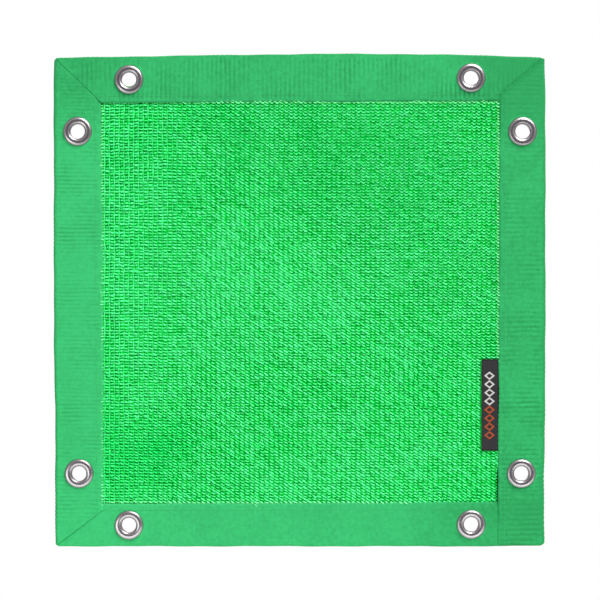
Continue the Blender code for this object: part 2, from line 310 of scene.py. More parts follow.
def knit_tree():
    """One yarn shape repeated over the wales and courses of a knitted cloth, with the unevenness of a real knit."""
    tree, steps, given = new_tree("knit", {
        "Yarn": "Object", "Wales": "Int", "Courses": "Int", "Width": "Float", "Height": "Float", "Centre": "Vector",
        "Middle": "Vector", "Window": "Vector", "Slant": "Float", "Slant at left": "Float", "Slant above": "Float",
        "Slant drift": "Float", "Stretch": "Float", "Size above": "Vector", "Bend above": "Float", "Darker above": "Float",
        "First wale": "Float", "Lift": "Float", "Lift at left": "Float",
        "Unevenness": "Float", "Seed": "Int", "Material": "Material"})
    grid = steps.node("GeometryNodeMeshGrid", {
        "Size X": given["Width"], "Size Y": given["Height"],
        "Vertices X": given["Wales"], "Vertices Y": given["Courses"]}).outputs[0]
    points = steps.node("GeometryNodeTransform", {
        "Geometry": grid, "Translation": given["Centre"], "Rotation": (math.pi / 2, 0, 0)}).outputs[0]
    place = steps.node("GeometryNodeInputPosition").outputs[0]
    from_middle = steps.vector("SUBTRACT", place, given["Middle"])
    drift = steps.math("SUBTRACT", steps.noise(place, 11.0, 3.0), 0.5)

    def share(slope, start):
        """A share that changes steadily over the window, from none to all."""
        rise = steps.node("ShaderNodeVectorMath", {0: from_middle, 1: slope}, operation="DOT_PRODUCT")
        rise = steps.math("SUBTRACT", rise.outputs["Value"], start)
        return steps.math("MINIMUM", steps.math("MAXIMUM", rise, 0.0), 1.0)

    chance = steps.node("FunctionNodeRandomValue", {2: -1.0, 3: 1.0, 8: given["Seed"]}, data_type="FLOAT").outputs[1]
    leftness = share(LEFT_TURN, LEFT_TURN_START)
    upness = share(ABOVE_TURN, ABOVE_TURN_START)
    slant = given["Slant"]
    for turned, end in ((leftness, "Slant at left"), (upness, "Slant above")):
        slant = steps.math("MULTIPLY_ADD", turned, steps.math("SUBTRACT", given[end], slant), slant)
    slant = steps.math("ADD", slant, steps.math("MULTIPLY", drift, given["Slant drift"]))
    slant = steps.math("ADD", slant, steps.math("MULTIPLY", chance, steps.math("MULTIPLY", given["Unevenness"], 0.3)))
    turn = steps.node("ShaderNodeCombineXYZ", {1: slant}).outputs[0]
    size = steps.math("ADD", 1.0, steps.math("MULTIPLY", chance, steps.math("MULTIPLY", given["Unevenness"], 0.4)))
    stretch = steps.math("MULTIPLY_ADD", steps.math("MULTIPLY_ADD", leftness, -0.8, 1.0), given["Stretch"], 1.0)
    stretched = steps.node("ShaderNodeCombineXYZ", {0: stretch, 1: 1.0, 2: 1.0}).outputs[0]
    sized = steps.node("ShaderNodeMix", {0: upness, 4: (1, 1, 1), 5: given["Size above"]}, data_type="VECTOR").outputs[1]
    scale = steps.scaled(steps.vector("MULTIPLY", stretched, sized), size)
    yarn = steps.node("GeometryNodeObjectInfo", {"Object": given["Yarn"]}).outputs["Geometry"]
    knit = steps.node("GeometryNodeInstanceOnPoints", {
        "Points": points, "Instance": yarn, "Rotation": turn, "Scale": scale}).outputs[0]
    shade = steps.node("FunctionNodeRandomValue", {2: 0.0, 3: 1.0, 8: steps.math("ADD", given["Seed"], 7)},
                       data_type="FLOAT").outputs[1]
    # Tone drops in the upper right by the given Darker above amount, and rises where it is negative; on the film this
    # is painted shade in the gaps there
    shade = steps.math("SUBTRACT", shade, steps.math("MULTIPLY", upness, given["Darker above"]))
    knit = steps.node("GeometryNodeStoreNamedAttribute", {"Geometry": knit, "Name": "shade", "Value": shade},
                      data_type="FLOAT", domain="INSTANCE").outputs[0]
    real = steps.node("GeometryNodeRealizeInstances", {"Geometry": knit}).outputs[0]

    wave = steps.vector("SUBTRACT", steps.noise(place, 26.0, 3.0, "Color"), (0.5, 0.5, 0.5))
    wave = steps.vector("MULTIPLY", wave, (0.0022, 0.0004, 0.0026))
    fine = steps.vector("SUBTRACT", steps.noise(place, 260.0, 2.0, "Color"), (0.5, 0.5, 0.5))
    rough = steps.math("MULTIPLY_ADD", leftness, 0.8, 1.0)
    fine = steps.scaled(fine, steps.math("MULTIPLY", rough, steps.math("MULTIPLY", given["Unevenness"], 0.0032)))
    reach = steps.node("ShaderNodeVectorMath", {0: from_middle}, operation="ABSOLUTE").outputs[0]
    to_edge = steps.node("ShaderNodeSeparateXYZ", {0: steps.vector("SUBTRACT", given["Window"], reach)}).outputs
    nearest = steps.math("MINIMUM", to_edge[0], to_edge[2])
    swell = steps.node("ShaderNodeMapRange", {0: nearest, 1: KNIT_EDGE_WIDTH, 2: 0.001, 3: 0.0, 4: -KNIT_EDGE_RISE},
                       interpolation_type="SMOOTHSTEP").outputs[0]
    clear = steps.math("SUBTRACT", 1.0, steps.math("MULTIPLY", share(BARE_SIDE, BARE_SIDE_START),
                                                   share(BARE_LOW, BARE_LOW_START)))
    swell = steps.math("MULTIPLY", swell, steps.math("MULTIPLY_ADD", upness, 1.2, clear))
    under = steps.node("ShaderNodeMapRange", {0: nearest, 1: -0.0012, 2: 0.0002},
                       interpolation_type="SMOOTHSTEP").outputs[0]
    lift = steps.math("MULTIPLY_ADD", leftness, given["Lift at left"], given["Lift"])
    swell = steps.math("SUBTRACT", swell, lift)
    swell = steps.math("MULTIPLY", swell, under)
    gap = steps.math("MULTIPLY", share(GAP_SIDE, GAP_SIDE_START), share(GAP_LOW, GAP_LOW_START))
    swell = steps.math("MULTIPLY_ADD", gap, GAP_DEPTH, swell)
    low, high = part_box("label")
    reach = steps.node("ShaderNodeVectorMath", {0: steps.vector("SUBTRACT", place, tuple((low + high) / 2))},
                       operation="ABSOLUTE").outputs[0]
    within = steps.node("ShaderNodeSeparateXYZ", {0: steps.vector("SUBTRACT", tuple((high - low) / 2), reach)}).outputs
    pressed = steps.node("ShaderNodeMapRange", {
        0: steps.math("MINIMUM", within[0], within[2]), 1: -0.0012, 2: 0.0004, 3: 0.0, 4: LABEL_PRESS},
        interpolation_type="SMOOTHSTEP").outputs[0]
    swell = steps.scaled((0, 1, 0), steps.math("ADD", swell, pressed))
    along = steps.node("ShaderNodeSeparateXYZ", {0: place}).outputs[0]
    along = steps.math("SUBTRACT", along, steps.math("ADD", given["First wale"], WALE_PITCH / 8))
    swing = steps.math("MULTIPLY_ADD", steps.math("PINGPONG", along, WALE_PITCH / 2), 2 / WALE_PITCH, -0.5)
    bend = steps.scaled((0, 0, 1), steps.math("MULTIPLY", swing, steps.math("MULTIPLY", upness, given["Bend above"])))
    offset = steps.vector("ADD", steps.vector("ADD", wave, fine), steps.vector("ADD", swell, bend))
    moved = steps.node("GeometryNodeSetPosition", {"Geometry": real, "Offset": offset}).outputs[0]
    # Painted highlight along the sewn edge: the crowns there are coloured paler, except where the right edge lies bare
    seam = steps.node("ShaderNodeMapRange", {0: nearest, 1: SEAM_HIGHLIGHT_WIDTH, 2: SEAM_HIGHLIGHT_WIDTH / 2}).outputs[0]
    seam = steps.math("MULTIPLY", seam, clear)
    marked = steps.node("GeometryNodeStoreNamedAttribute", {"Geometry": moved, "Name": "seam", "Value": seam},
                        data_type="FLOAT", domain="POINT").outputs[0]
    # The gap share is stored too, for the painted shadow that the material puts in the gap
    marked = steps.node("GeometryNodeStoreNamedAttribute", {"Geometry": marked, "Name": "hollow", "Value": gap},
                        data_type="FLOAT", domain="POINT").outputs[0]
    end_tree(steps, marked, given["Material"])
    return tree


def rib_tree():
    """Cross ribs pressed into a woven tape, along its own length."""
    tree, steps, given = new_tree("tape_ribs", {"Rib pitch": "Float", "Rib depth": "Float", "Material": "Material"})
    along = steps.node("GeometryNodeInputNamedAttribute", {"Name": "along"}, data_type="FLOAT").outputs[0]
    strength = steps.node("GeometryNodeInputNamedAttribute", {"Name": "rib"}, data_type="FLOAT").outputs[0]
    place = steps.node("GeometryNodeInputPosition").outputs[0]
    phase = steps.math("MULTIPLY", steps.math("DIVIDE", along, given["Rib pitch"]), 2 * math.pi)
    phase = steps.math("ADD", phase, steps.math("MULTIPLY", steps.noise(place, 45.0), 3.0))
    swing = steps.math("MULTIPLY_ADD", steps.math("COSINE", phase), 0.5, 0.5)
    groove = steps.math("POWER", swing, 2.0)
    uneven = steps.math("MAXIMUM", steps.math("MULTIPLY_ADD", steps.noise(place, 42.0), 6.0, -2.1), 0.12)
    depth = steps.math("MULTIPLY", steps.math("MULTIPLY", groove, uneven), given["Rib depth"])
    depth = steps.math("MULTIPLY", steps.math("MULTIPLY", depth, strength), -1.0)
    # The groove depth is stored for the material, which colours the grooves darker as painted shade
    marked = steps.node("GeometryNodeStoreNamedAttribute", {
        "Geometry": given["Geometry"], "Name": "groove", "Value": steps.math("DIVIDE", depth, -DEEPEST_RIB)},
        data_type="FLOAT", domain="POINT").outputs[0]
    normal = steps.node("GeometryNodeInputNormal").outputs[0]
    ribbed = steps.node("GeometryNodeSetPosition", {
        "Geometry": marked, "Offset": steps.scaled(normal, depth)}).outputs[0]
    end_tree(steps, ribbed, given["Material"])
    return tree


def seam_tree():
    """Stitches of one length set end to end along a sewn line."""
    tree, steps, given = new_tree("seam", {
        "Stitch": "Object", "Stitch pitch": "Float", "Unevenness": "Float", "Seed": "Int", "Material": "Material"})
    line = steps.node("GeometryNodeMeshToCurve", {"Mesh": given["Geometry"]}).outputs[0]
    spaced = steps.node("GeometryNodeResampleCurve", {"Curve": line, "Length": given["Stitch pitch"]},
                        mode="LENGTH").outputs[0]
    tangent = steps.node("GeometryNodeInputTangent").outputs[0]
    chance = steps.node("FunctionNodeRandomValue", {0: (-1, -1, -1), 1: (1, 1, 1), 8: given["Seed"]},
                        data_type="FLOAT_VECTOR").outputs[0]
    direction = steps.vector("ADD", tangent, steps.scaled(chance, given["Unevenness"]))
    turn = steps.node("FunctionNodeAlignRotationToVector", {"Vector": direction}, axis="X").outputs[0]
    stitch = steps.node("GeometryNodeObjectInfo", {"Object": given["Stitch"]}).outputs["Geometry"]
    sewn = steps.node("GeometryNodeInstanceOnPoints", {
        "Points": spaced, "Instance": stitch, "Rotation": turn}).outputs[0]
    end_tree(steps, sewn, given["Material"])
    return tree


def eyelet_tree():
    """One pressed ring set at each point, each turned its own way."""
    tree, steps, given = new_tree("set_rings", {
        "Ring": "Object", "Tilt": "Float", "Seed": "Int", "Material": "Material"})
    tilt = steps.node("FunctionNodeRandomValue", {0: (-1, 0, -1), 1: (1, 0, 1), 8: given["Seed"]},
                      data_type="FLOAT_VECTOR").outputs[0]
    spin = steps.node("FunctionNodeRandomValue", {
        2: 0.0, 3: 2 * math.pi, 8: steps.math("ADD", given["Seed"], 3)}, data_type="FLOAT").outputs[1]
    lean = steps.scaled(tilt, given["Tilt"])
    turn = steps.vector("ADD", lean, steps.node("ShaderNodeCombineXYZ", {1: spin}).outputs[0])
    ring = steps.node("GeometryNodeObjectInfo", {"Object": given["Ring"]}).outputs["Geometry"]
    placed = steps.node("GeometryNodeInstanceOnPoints", {
        "Points": given["Geometry"], "Instance": ring, "Rotation": turn}).outputs[0]
    end_tree(steps, placed, given["Material"])
    return tree


def new_material(name):
    """A material, its steps, its main shader and the object's own coordinates."""
    material = bpy.data.materials.new(name)
    material.use_nodes = True
    steps = Steps(material.node_tree)
    shader = material.node_tree.nodes["Principled BSDF"]
    place = steps.node("ShaderNodeTexCoord").outputs["Object"]
    return material, steps, shader, place


def bump(steps, shader, height, distance, strength=1.0):
    node = steps.node("ShaderNodeBump", {"Height": height, "Distance": distance, "Strength": strength})
    steps.feed(shader.inputs["Normal"], node.outputs[0])


def yarn_material(name, deep, bright, gloss, crown_highlight, back_colours=None):
    """Slit-film yarn: glossy plastic and uneven, with painted highlight on each stitch's crown and on the crowns along
    the seams.
    """
    material, steps, shader, place = new_material(name)
    shade = steps.node("ShaderNodeAttribute", attribute_name="shade").outputs["Fac"]
    crown = steps.node("ShaderNodeAttribute", attribute_name="crown").outputs["Fac"]
    patches = steps.noise(place, 16.0, 3.0)
    tone = steps.math("MULTIPLY_ADD", shade, 0.7, steps.math("MULTIPLY", patches, 0.4))
    # Painted sheen and shade: these patches and a noise cloud blend the cloth toward its bright or its deep colour
    sheen = steps.math("MULTIPLY_ADD", steps.noise(place, 24.0, 1.0), 1.2, -0.6)
    for middle, reach, strength in SHEENS:
        off = steps.vector("DIVIDE", steps.vector("SUBTRACT", place, middle), reach)
        off = steps.node("ShaderNodeVectorMath", {0: off}, operation="LENGTH").outputs["Value"]
        near = steps.node("ShaderNodeMapRange", {0: off, 1: 1.0, 2: 0.0}, interpolation_type="SMOOTHSTEP")
        sheen = steps.math("MULTIPLY_ADD", near.outputs[0], strength, sheen)
    # Painted highlight: the crown of each strand, its front, is coloured lighter and mint
    tone = steps.math("MULTIPLY_ADD", steps.math("POWER", crown, 2.0), crown_highlight, tone)
    tone = steps.math("SUBTRACT", tone, crown_highlight * 0.42)
    colour = steps.blended(tone, (*deep, 1), (*bright, 1))
    colour = steps.blended(sheen, colour, (*bright, 1))
    colour = steps.blended(steps.math("MULTIPLY", sheen, -1.0), colour, (deep[0], deep[1], 1.6 * deep[2], 1))
    # The film's front colours are darker than the yarn's, painted shade in the gaps between the floats; its back takes
    # the cloth's own green
    if back_colours:
        back_colour = steps.blended(tone, (*back_colours[0], 1), (*back_colours[1], 1))
        behind = steps.node("ShaderNodeAttribute", attribute_name="behind").outputs["Fac"]
        colour = steps.blended(steps.math("MULTIPLY", behind, 3.0), colour, back_colour)
    # Painted highlight: crowns along the seams blend toward a pale mint
    seam = steps.node("ShaderNodeAttribute", attribute_name="seam").outputs["Fac"]
    seam_highlight = steps.math("MULTIPLY", seam, steps.math("MULTIPLY", crown, crown_highlight))
    colour = steps.blended(seam_highlight, colour, (0.24, 1.0, 0.40, 1))
    # Painted shadow: where the cloth sinks behind the lifted tape edge, its front is coloured near black
    hollow = steps.node("ShaderNodeAttribute", attribute_name="hollow").outputs["Fac"]
    shaded = steps.math("MULTIPLY", hollow, steps.math("MINIMUM", steps.math("MULTIPLY", crown, 4.0), 1.0))
    steps.feed(shader.inputs["Base Color"], steps.blended(shaded, colour, (0.0, 0.06, 0.008, 1)))
    streak_place = steps.vector("MULTIPLY", place, (600, 1800, 3600))
    streaks = steps.noise(streak_place, 1.0, 2.0)
    steps.feed(shader.inputs["Roughness"], steps.math("MULTIPLY_ADD", streaks, 0.18, 0.12))
    shader.inputs["Specular IOR Level"].default_value = gloss
    bump(steps, shader, streaks, 0.00006, 0.5)
    return material


def tape_material():
    """Woven polyester webbing: fine crossed threads, slightly uneven in colour."""
    material, steps, shader, place = new_material("woven_tape_green")
    threads = []
    for direction in ("X", "Z"):
        wave = steps.node("ShaderNodeTexWave", {"Vector": place, "Scale": 620.0, "Distortion": 0.6, "Detail": 1.0},
                          wave_type="BANDS", bands_direction=direction)
        threads.append(wave.outputs["Fac"])
    weave = steps.math("MULTIPLY", *threads)
    patches = steps.noise(place, 30.0, 4.0)
    fibres = steps.noise(place, 900.0, 2.0)
    mottle = steps.noise(place, 330.0, 2.0)
    groove = steps.node("ShaderNodeAttribute", attribute_name="groove").outputs["Fac"]
    tone = steps.math("ADD", steps.math("MULTIPLY", patches, 0.6), steps.math("MULTIPLY", fibres, 0.35))
    tone = steps.math("ADD", tone, steps.math("MULTIPLY_ADD", mottle, 0.9, -0.45))
    flat_place = steps.vector("MULTIPLY", place, (1, 0, 1))
    for centre in EYELET_CENTRES:
        distance = steps.node("ShaderNodeVectorMath", {0: flat_place, 1: centre}, operation="DISTANCE").outputs["Value"]
        pressed = steps.node("ShaderNodeMapRange", {
            0: distance, 1: PRESS_MARK_RADIUS + PRESS_MARK_FADE, 2: PRESS_MARK_RADIUS, 3: 0.0, 4: 0.3},
            interpolation_type="SMOOTHSTEP").outputs[0]
        tone = steps.math("ADD", tone, pressed)
    tone = steps.math("ADD", tone, steps.math("MULTIPLY", weave, 0.12))
    # Painted shade: the rib grooves are coloured darker
    tone = steps.math("SUBTRACT", tone, steps.math("MULTIPLY", groove, 0.32))
    # The tone attribute adds painted light and shade by side, fold and corner
    tone = steps.math("ADD", tone, steps.node("ShaderNodeAttribute", attribute_name="tone").outputs["Fac"])
    steps.feed(shader.inputs["Base Color"],
               steps.blended(tone, (0.010, 0.310, 0.082, 1), (0.031, 0.515, 0.153, 1)))
    steps.feed(shader.inputs["Roughness"], steps.math("MULTIPLY_ADD", weave, -0.12, 0.72))
    shader.inputs["Specular IOR Level"].default_value = 0.3
    bump(steps, shader, steps.math("ADD", weave, steps.math("MULTIPLY", fibres, 0.4)), 0.00012, 0.6)
    return material


def thread_material():
    """Spun sewing thread with the slanted lines of its twist."""
    material, steps, shader, place = new_material("sewing_thread_green")
    slanted = steps.node("ShaderNodeMapping", {"Vector": place, "Rotation": (0, math.radians(40), 0)}).outputs[0]
    twist = steps.node("ShaderNodeTexWave", {"Vector": slanted, "Scale": 900.0, "Distortion": 1.0}).outputs["Fac"]
    tone = steps.math("MULTIPLY_ADD", steps.noise(place, 300.0), 0.5, steps.math("MULTIPLY", twist, 0.4))
    steps.feed(shader.inputs["Base Color"],
               steps.blended(tone, (0.018, 0.325, 0.090, 1), (0.036, 0.480, 0.142, 1)))
    steps.feed(shader.inputs["Roughness"], steps.math("MULTIPLY_ADD", twist, 0.15, 0.5))
    bump(steps, shader, twist, 0.00005)
    return material


def nickel_material():
    """Nickel plate: bright, with faint polishing lines and a little tarnish."""
    material, steps, shader, place = new_material("nickel_plate")
    shader.inputs["Metallic"].default_value = 1.0
    tarnish = steps.noise(place, 160.0, 4.0)
    rubbed = steps.noise(steps.vector("MULTIPLY", place, (2400, 500, 2400)), 1.0, 3.0)
    plate = steps.blended(tarnish, (0.60, 0.57, 0.58, 1), (0.80, 0.77, 0.79, 1))
    dull = steps.node("ShaderNodeAttribute", attribute_name="dull").outputs["Fac"]
    # Painted shade: the plate is coloured darker down the bore and round the outer rim, where it is also rougher
    steps.feed(shader.inputs["Base Color"], steps.blended(dull, plate, (0.20, 0.18, 0.19, 1)))
    roughness = steps.math("MULTIPLY_ADD", rubbed, 0.14, 0.15)
    steps.feed(shader.inputs["Roughness"], steps.math("MULTIPLY_ADD", dull, 0.2, roughness))
    bump(steps, shader, rubbed, 0.00001, 0.35)
    return material


def label_material():
    """Damask label: its colours are woven in, cell by cell."""
    material, steps, shader, place = new_material("woven_label_charcoal")
    woven = steps.node("ShaderNodeAttribute", attribute_name="woven").outputs["Color"]
    fibres = steps.noise(place, 2200.0, 2.0)
    steps.feed(shader.inputs["Base Color"],
               steps.blended(steps.math("MULTIPLY", fibres, 0.2), woven, (0.03, 0.03, 0.03, 1)))
    steps.feed(shader.inputs["Roughness"], steps.math("MULTIPLY_ADD", fibres, 0.2, 0.55))
    shader.inputs["Specular IOR Level"].default_value = 0.2
    picks = steps.node("ShaderNodeTexWave", {"Vector": place, "Scale": 1200.0}, bands_direction="Z").outputs["Fac"]
    bump(steps, shader, steps.math("ADD", picks, fibres), 0.00005, 0.6)
    return material


def floor_material():
    material, steps, shader, place = new_material("studio_floor")
    cloudy = steps.noise(place, 5.0, 3.0)
    steps.feed(shader.inputs["Base Color"], steps.blended(cloudy, (0.86, 0.86, 0.86, 1), (0.92, 0.92, 0.92, 1)))
    shader.inputs["Roughness"].default_value = 0.8
    return material


def strand_mesh(name, points, across, half_widths, half_depths, sides, facing=DEPTH):
    """A closed strand of yarn or thread, as rings of points round its centre line, with its front crown marked."""
    shape = bmesh.new()
    rings = []
    crowns = []
    backs = []
    for index, (point, half_width, half_depth) in enumerate(zip(points, half_widths, half_depths)):
        ring = []
        part = 2 * index / (len(points) - 1) - 1
        for side in range(sides):
            angle = 2 * math.pi * (side + 0.5) / sides
            offset = across * half_width * math.sin(angle) - facing * half_depth * math.cos(angle)
            ring.append(shape.verts.new(point + offset))
            crowns.append((1 - part ** 4) * (0.5 + 0.5 * math.cos(angle)))
            backs.append(max(-math.cos(angle), 0.0))
        rings.append(ring)
    for ring, following in zip(rings, rings[1:]):
        for side in range(sides):
            shape.faces.new((ring[side - 1], ring[side], following[side], following[side - 1]))
    shape.faces.new(rings[0])
    shape.faces.new(rings[-1])
    mesh = shape_mesh(name, shape)
    add_values(mesh, "crown", np.array(crowns))
    add_values(mesh, "behind", np.array(backs))
    return mesh


def float_mesh():
    """The yarn that floats over the front from one wale to the next: fat in the middle, tucked back at its ends."""
    reach = FLOAT_REACH * WALE_PITCH
    parts = [-1, -0.55, 0, 0.55, 1]
    points = []
    for part in parts:
        level = 0.0001 - FLOAT_BULGE * (1 - part * part)
        height = FLOAT_SAG * (part * part - 0.4)
        points.append(Vector((reach * part, level, height)))
    half_heights = [FLOAT_HALF_HEIGHT * (1 - 0.55 * part * part) for part in parts]
    half_depths = [FLOAT_HALF_DEPTH * (1 - 0.35 * part * part) for part in parts]
    across = Vector((0, math.sin(FLOAT_LEAN), math.cos(FLOAT_LEAN)))
    facing = Vector((0, math.cos(FLOAT_LEAN), -math.sin(FLOAT_LEAN)))
    return strand_mesh("knit_float", points, across, half_heights, half_depths, 4, facing)


def link_mesh():
    """A link of the chain that runs up each wale and holds the floats."""
    parts = [-1, -0.35, 0.35, 1]
    points = [Vector((0, 0.00002 - 0.00018 * (1 - part * part), 0.62 * COURSE_PITCH * part)) for part in parts]
    half_widths = [LINK_HALF_WIDTH * (1 - 0.5 * part * part) for part in parts]
    half_depths = [LINK_HALF_DEPTH * (1 - 0.4 * part * part) for part in parts]
    return strand_mesh("knit_link", points, ACROSS, half_widths, half_depths, 4)


def ribbon_mesh():
    """The flat film behind the floats, which closes the cloth."""
    parts = [-1, 0, 1]
    reach = RIBBON_REACH * WALE_PITCH
    points = [Vector((reach * part, RIBBON_LEVEL - 0.0001 * part * part, 0)) for part in parts]
    half_heights = [RIBBON_HALF_HEIGHT] * 3
    half_depths = [RIBBON_HALF_DEPTH] * 3
    return strand_mesh("knit_ribbon", points, UP, half_heights, half_depths, 3)


def stitch_mesh():
    parts = [-1, -0.6, 0, 0.6, 1]
    points = [Vector((STITCH_LENGTH / 2 * part, 0, 0)) for part in parts]
    half = [THREAD_RADIUS * (1 - 0.6 * part * part) for part in parts]
    return strand_mesh("stitch", points, UP, half, half, 6)


class Border:
    """One bound edge: it runs clockwise seen from the front, and depth is counted in from its outer edge."""

    def __init__(self, name, turn, length, out, width, middle=PANEL_MIDDLE):
        self.name = name
        self.angle = math.radians(turn)
        self.length = length
        self.out = out
        self.width = width
        self.middle = middle

    def place(self, along, depth, level):
        out = self.out - depth
        x = self.middle.x + along * math.cos(self.angle) + out * math.sin(self.angle)
        z = self.middle.z + out * math.cos(self.angle) - along * math.sin(self.angle)
        return x, level, z

    def corner(self, along, depth):
        return Vector(self.place(along, depth, 0))


BORDERS = [
    Border("top", 0, PANEL_WIDTH, PANEL_HEIGHT / 2, TAPE_WIDTH),
    Border("right", 90, PANEL_HEIGHT, PANEL_WIDTH / 2, TAPE_WIDTH),
    Border("bottom", 180, PANEL_WIDTH, PANEL_HEIGHT / 2, BOTTOM_TAPE_WIDTH),
    Border("left", 270, PANEL_HEIGHT, PANEL_WIDTH / 2, TAPE_WIDTH),
]
TOP, RIGHT, BOTTOM, LEFT = BORDERS


def eyelet_centre(name):
    low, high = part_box("eyelet_" + name)
    return Vector(((low.x + high.x) / 2, 0, (low.z + high.z) / 2))


EYELET_CENTRES = [eyelet_centre(name) for name in EYELET_NAMES]


def edge_shift(distance, width, inner, outer):
    """Carries a tape's inner and outer edge by their own amounts. Distance is counted out from the inner edge."""
    part = np.clip(distance / width, 0, 1)
    return smooth(-SETTLE_FADE, 0, distance) * (inner + (outer - inner) * part)


def settle(x, z):
    """How the soft border really lies: its top bows up right of the middle and its edges run a little askew."""
    across = (x - PANEL_MIDDLE.x) / (PANEL_WIDTH / 2)
    up = (z - PANEL_MIDDLE.z) / (PANEL_HEIGHT / 2)
    from_crest = across - 0.2
    bow = 0.0007 - np.where(from_crest < 0, 0.00265 * np.abs(from_crest) ** 1.4, 0.0048 * from_crest ** 2)
    top = edge_shift(z - PANEL_TOP + TAPE_WIDTH, TAPE_WIDTH, 0.0012 * across - 0.0006, bow)
    bottom = edge_shift(PANEL_BOTTOM + BOTTOM_TAPE_WIDTH - z, BOTTOM_TAPE_WIDTH,
                        0.0008 * across + 0.0008, 0.0005 * smooth(0.7, 1.0, across) - 0.0007)
    left = edge_shift(PANEL_LEFT + TAPE_WIDTH - x, TAPE_WIDTH,
                      0.0015 - 0.0010 * up - 0.0011 * up * up, 0.0012 * smooth(0.0, -0.6, up) - 0.0006)
    right = edge_shift(x - PANEL_RIGHT + TAPE_WIDTH, TAPE_WIDTH,
                       0.0009 * up - 0.0001, -0.0010 * (smooth(-0.2, -0.8, up) + smooth(0.86, 0.98, up)))
    return x + left + right, z + top + bottom


def rounded(x, z):
    """Rounds the panel's four outer corners."""
    for side_x, edge_x in ((-1, PANEL_LEFT), (1, PANEL_RIGHT)):
        for side_z, edge_z in ((-1, PANEL_BOTTOM), (1, PANEL_TOP)):
            across = np.clip(1 - (edge_x - x) * side_x / CORNER_ROUND, 0, 1)
            up = np.clip(1 - (edge_z - z) * side_z / CORNER_ROUND, 0, 1)
            x = x - side_x * CORNER_ROUND * across * (1 - np.sqrt(1 - up * up / 2))
            z = z - side_z * CORNER_ROUND * up * (1 - np.sqrt(1 - across * across / 2))
    return x, z


def fold_section(width, half_thickness, leaf_steps):
    """A strip folded in half, from one inner edge round the fold to the other: depth, level and outward direction."""
    leaf = np.linspace(width, half_thickness, leaf_steps)
    turn = np.linspace(0, math.pi, FOLD_STEPS + 1)[1:-1]
    depth = np.concatenate([leaf, half_thickness - half_thickness * np.sin(turn), leaf[::-1]])
    level = np.concatenate([np.full(leaf_steps, -half_thickness), -half_thickness * np.cos(turn),
                            np.full(leaf_steps, half_thickness)])
    out_depth = np.concatenate([np.zeros(leaf_steps), -np.sin(turn), np.zeros(leaf_steps)])
    out_level = np.concatenate([np.full(leaf_steps, -1.0), -np.cos(turn), np.full(leaf_steps, 1.0)])
    return depth, level, out_depth, out_level


def grid_mesh(name, x, y, z):
    """A mesh from a grid of places, one row for each step along."""
    rows, columns = x.shape
    corners = np.arange(rows * columns).reshape(rows, columns)
    faces = np.stack([corners[:-1, :-1], corners[:-1, 1:], corners[1:, 1:], corners[1:, :-1]], axis=-1)
    mesh = bpy.data.meshes.new(name)
    mesh.from_pydata(np.stack([x, y, z], axis=-1).reshape(-1, 3).tolist(), [], faces.reshape(-1, 4).tolist())
    mesh.shade_smooth()
    return mesh


def add_values(mesh, name, values):
    attribute = mesh.attributes.new(name, "FLOAT", "POINT")
    attribute.data.foreach_set("value", values.astype(np.float32).ravel())


def eyelet_rise(x, z):
    """The tape is clamped up against the eyelet's flange and washer, and puckers a little round them."""
    rise = np.zeros_like(x)
    for index, centre in enumerate(EYELET_CENTRES):
        distance = np.hypot(x - centre.x, z - centre.z)
        angle = np.arctan2(z - centre.z, x - centre.x)
        fade = smooth(EYELET_SWELL_RADIUS + EYELET_SWELL_FADE, EYELET_SWELL_RADIUS - 0.0015, distance)
        pucker = 0.00007 * np.sin(5 * angle + index) * smooth(0.021, 0.013, distance)
        rise += EYELET_SWELL * fade + pucker
    return rise


def tape_relief(border, along, depth, x, z):
    """How far the tape's outer face stands away from its plain fold."""
    relief = eyelet_rise(x, z)
    seam = (depth - border.width + SEAM_INSET) / 0.0009
    relief -= SEAM_PULL * np.exp(-seam * seam) * (0.75 + 0.25 * np.cos(2 * math.pi * along / STITCH_PITCH))
    inner = smooth(border.width - 0.006, border.width, depth)
    loose = 0.00008 * np.sin(along * 41.0 + border.angle) + 0.00006 * np.sin(along * 97.0 + 2 * border.angle)
    press = EDGE_PRESS
    if border is RIGHT:
        press = EDGE_PRESS * smooth(0.166, 0.158, along)
        loose = loose + 0.00130 * smooth(0.134, 0.146, along) * smooth(0.170, 0.164, along)
        relief = relief + 0.00007 * smooth(0.158, 0.166, along) * smooth(border.width - 0.016, border.width - 0.008, depth)
    loose = loose - press
    if border is TOP:
        loose = loose + 0.00060 * smooth(-0.09, -0.115, along)
    if border is BOTTOM:
        covered = RIGHT.width - border.length / 2
        relief = relief - TUCK_DROP * smooth(covered + 0.0001, covered - 0.0012, along)
    for under, over in ((TOP, RIGHT), (BOTTOM, LEFT)):
        if border is under:
            from_end = border.length / 2 - along
            beyond = depth / border.width - LAP_SHARE * from_end / over.width
            covered = smooth(0.0, 0.03, beyond) * smooth(over.width + 0.0004, over.width - 0.0010, from_end)
            relief = relief - TUCK_DROP * covered
        if border is over:
            from_start = border.length / 2 + along
            beyond = from_start / under.width - LAP_SHARE * depth / border.width
            relief = relief + LAP_LIFT * smooth(0.09, 0.0, beyond)
    relief += loose * inner
    ripple = 0.00006 * np.sin(along * 150.0 + 7 * np.sin(along * 23.0 + border.angle))
    relief += ripple * smooth(0.002, 0.012, depth)
    return relief


def cut_end(shape, border, sign, inset_outer, inset_inner):
    """Cuts a strip's end along a straight line across its width."""
    half = border.length / 2
    outer = border.corner(sign * (half - inset_outer), 0)
    inner = border.corner(sign * (half - inset_inner), border.width)
    normal = (inner - outer).cross(DEPTH)
    beyond = border.corner(sign * half * 2, border.width / 2) - outer
    if normal.dot(beyond) < 0:
        normal = -normal
    everything = shape.verts[:] + shape.edges[:] + shape.faces[:]
    bmesh.ops.bisect_plane(shape, geom=everything, plane_co=outer, plane_no=normal, clear_outer=True)


